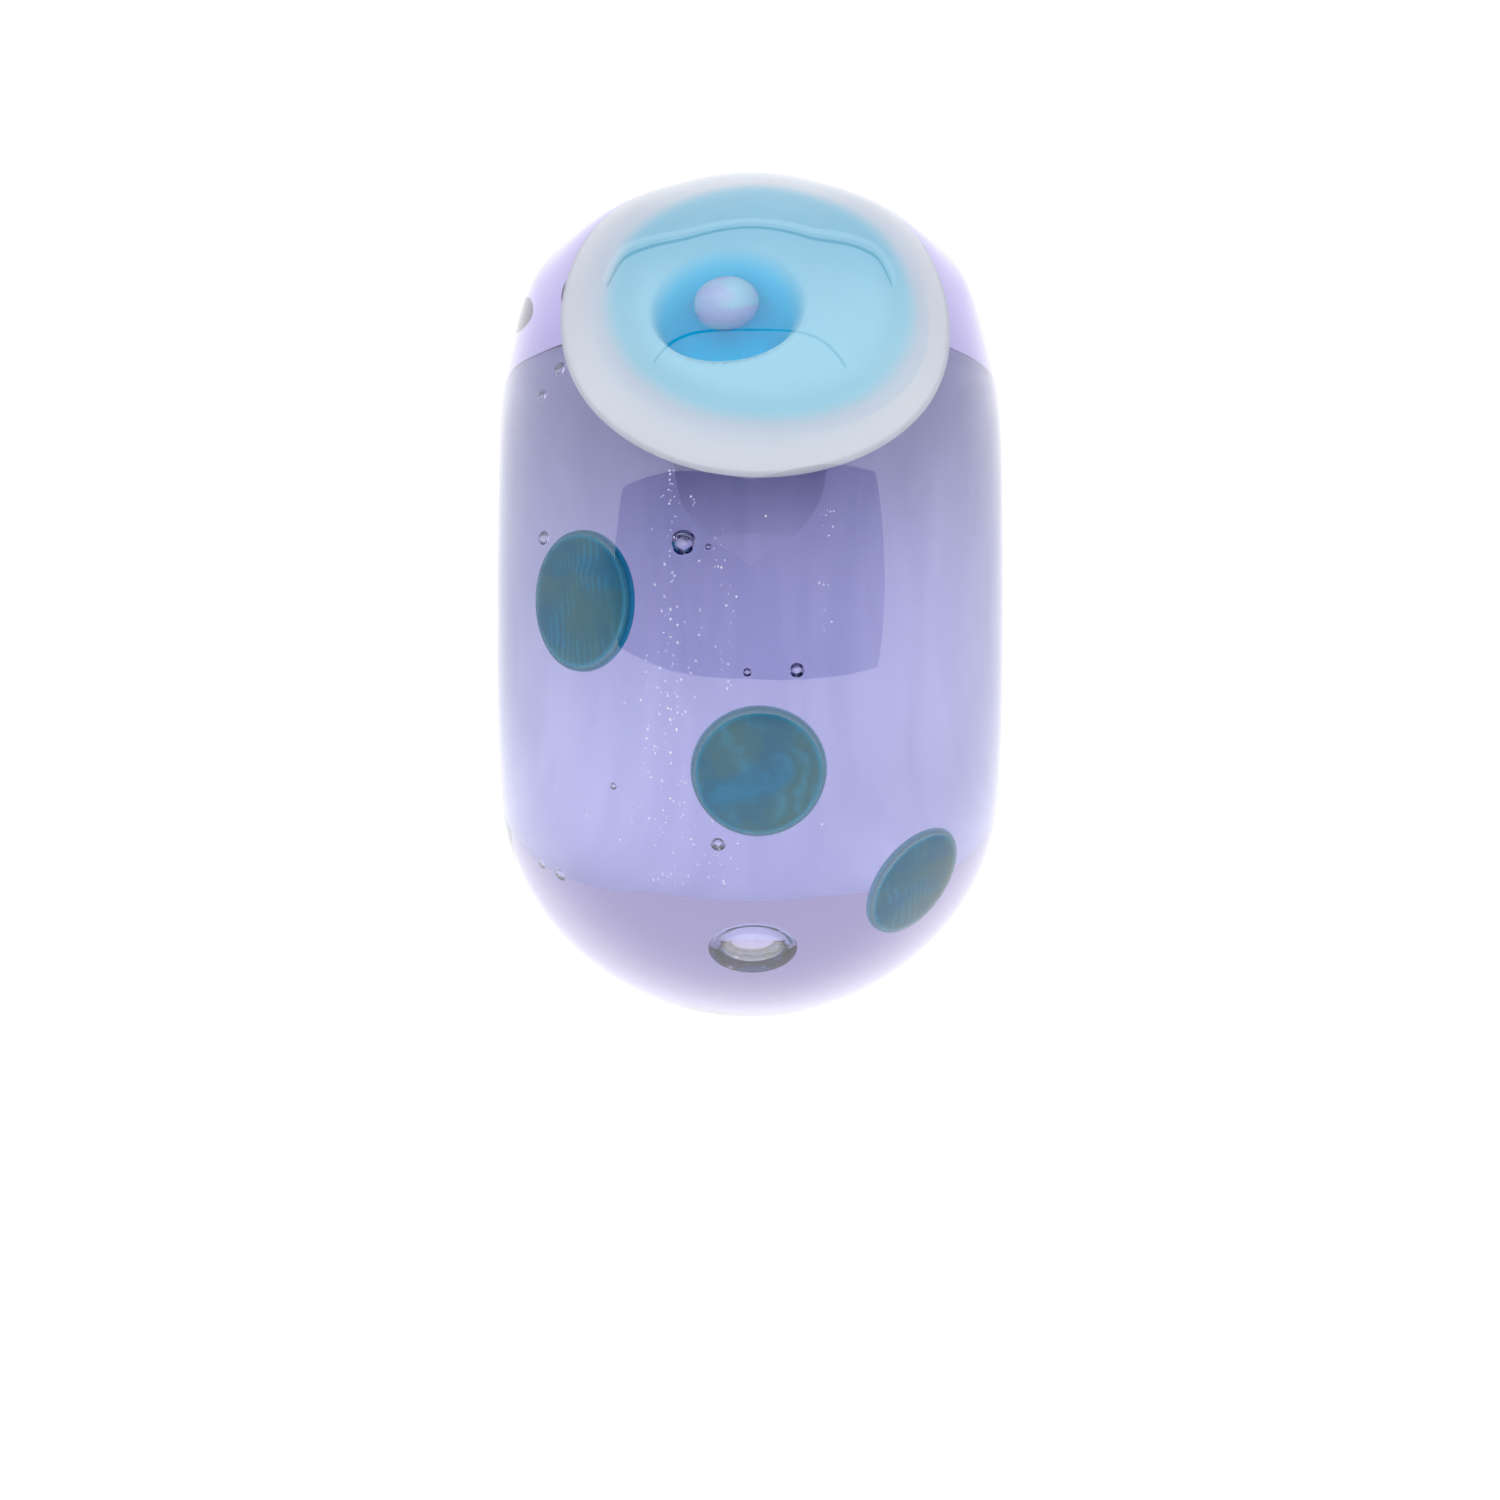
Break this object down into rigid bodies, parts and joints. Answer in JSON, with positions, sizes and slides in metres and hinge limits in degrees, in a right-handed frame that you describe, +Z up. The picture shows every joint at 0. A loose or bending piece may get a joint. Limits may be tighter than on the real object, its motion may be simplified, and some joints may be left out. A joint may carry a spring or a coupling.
{
  "type": "glass charm bead",
  "caption": "Lampworked glass charm bead: transparent lilac body on a flush silver-lined bore, with raised bubble eyes and slanting rows of flush teal dots in its full-round tread.",
  "frame": {"origin": "middle of the bore, on its axis", "axes": "+X along the bore, +Z up, -Y towards the side with the first eye and row of dots"},
  "size_m": [0.0084, 0.014, 0.0142],
  "materials": {
    "silver": "polished, faintly brushed round the bore",
    "milky_lavender_glass": "milky, smooth",
    "lilac_glass": "clear, flame polished, with fine seed bubbles",
    "white_glass": "opaque, flame polished",
    "aqua_glass": "clear, flame polished",
    "deep_aqua_glass": "clear, flame polished",
    "clear_glass": "clear, flame polished",
    "teal_glass": "opaque, with a thin grey-green flame bloom"
  },
  "bodies": {
    "root": {"core_sleeve": "silver", "base_wrap": "milky_lavender_glass", "lilac_casing": "lilac_glass", "front_eye_white": "white_glass", "front_eye_aqua": "aqua_glass", "front_eye_pupil": "deep_aqua_glass", "front_eye_dome": "clear_glass", "front_dot_left": "teal_glass", "front_dot_middle": "teal_glass", "front_dot_right": "teal_glass", "back_eye_white": "white_glass", "back_eye_aqua": "aqua_glass", "back_eye_pupil": "deep_aqua_glass", "back_eye_dome": "clear_glass", "back_dot_left": "teal_glass", "back_dot_middle": "teal_glass", "back_dot_right": "teal_glass"}
  },
  "joints": []
}
